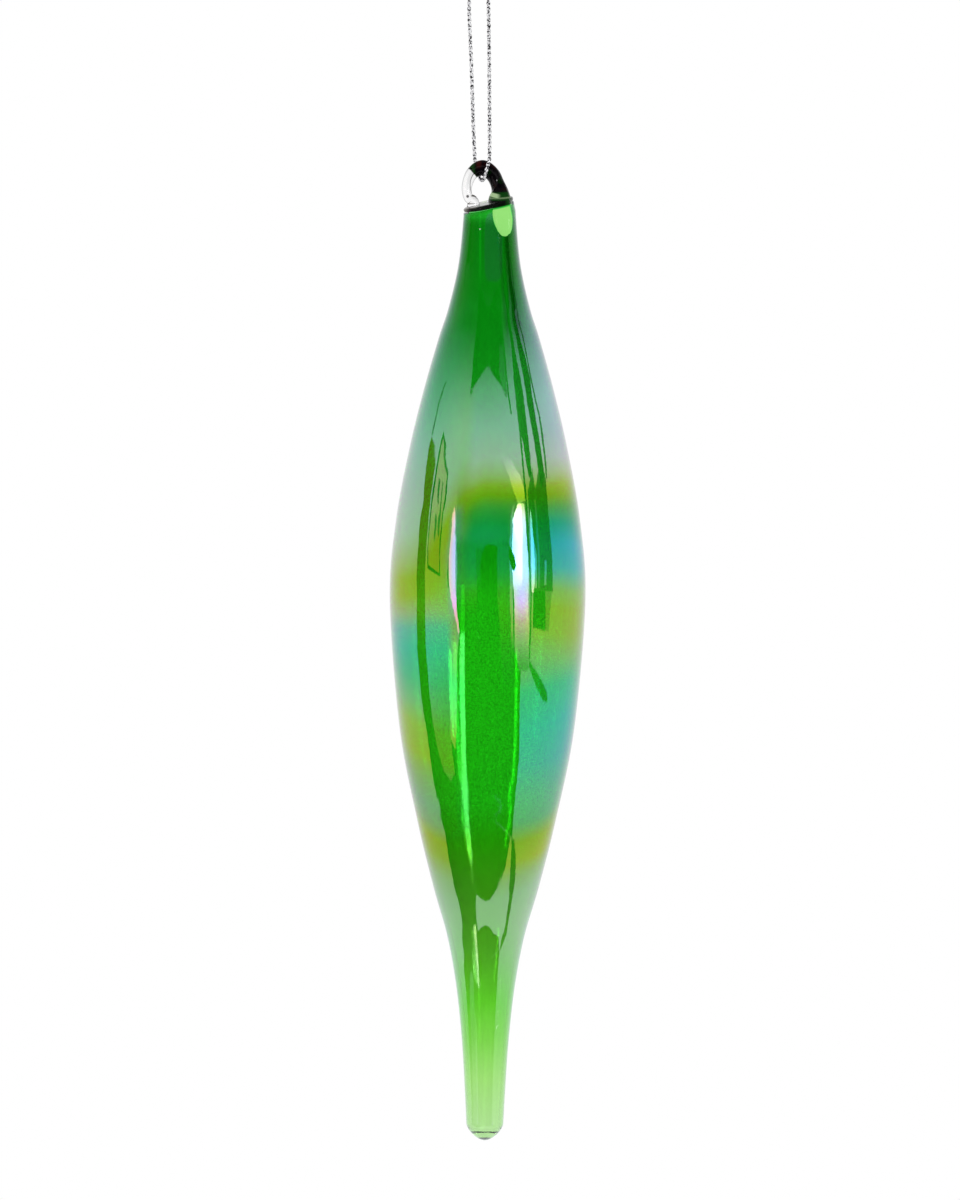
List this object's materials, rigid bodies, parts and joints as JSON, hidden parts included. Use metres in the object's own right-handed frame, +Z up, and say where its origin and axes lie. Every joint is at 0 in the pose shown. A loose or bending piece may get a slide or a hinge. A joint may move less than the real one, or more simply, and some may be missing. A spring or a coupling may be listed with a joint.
{
  "type": "blown glass finial ornament",
  "caption": "Slender blown glass finial drop with a swelling belly, a long round-tipped stem and a glass ring, hanging from a loop of thread cord.",
  "frame": {"origin": "where a hook bears in the cord's loop, just under its knot", "axes": "+Z up along the hanging cord, -Y the face that the picture shows, +X to the right of it"},
  "size_m": [0.0509, 0.0508, 0.3175],
  "materials": {
    "body_glass": "clear green, blown, with a rainbow lustre",
    "seal_glass": "clear grey-green, fire polished",
    "ring_glass": "clear to very dark, fire polished",
    "thread_cord": "twisted metallic silver thread"
  },
  "bodies": {
    "loop_top": {"cord_knot": "thread_cord", "cord_strand_front": "thread_cord", "cord_strand_back": "thread_cord"},
    "bight": {"cord_bight": "thread_cord"},
    "glass": {"glass_body": "body_glass", "neck_seal": "seal_glass", "hanging_ring": "ring_glass"}
  },
  "joints": [
    {"name": "cord_twist", "type": "hinge", "parent": "loop_top", "child": "bight", "pos_m": [0, 0, -0.054], "axis": [0, 0, 1], "range_deg": [-150, 150]},
    {"name": "ring_swing", "type": "hinge", "parent": "bight", "child": "glass", "pos_m": [0, 0, -0.054], "axis": [1, 0, 0], "range_deg": [-60, 60]}
  ]
}
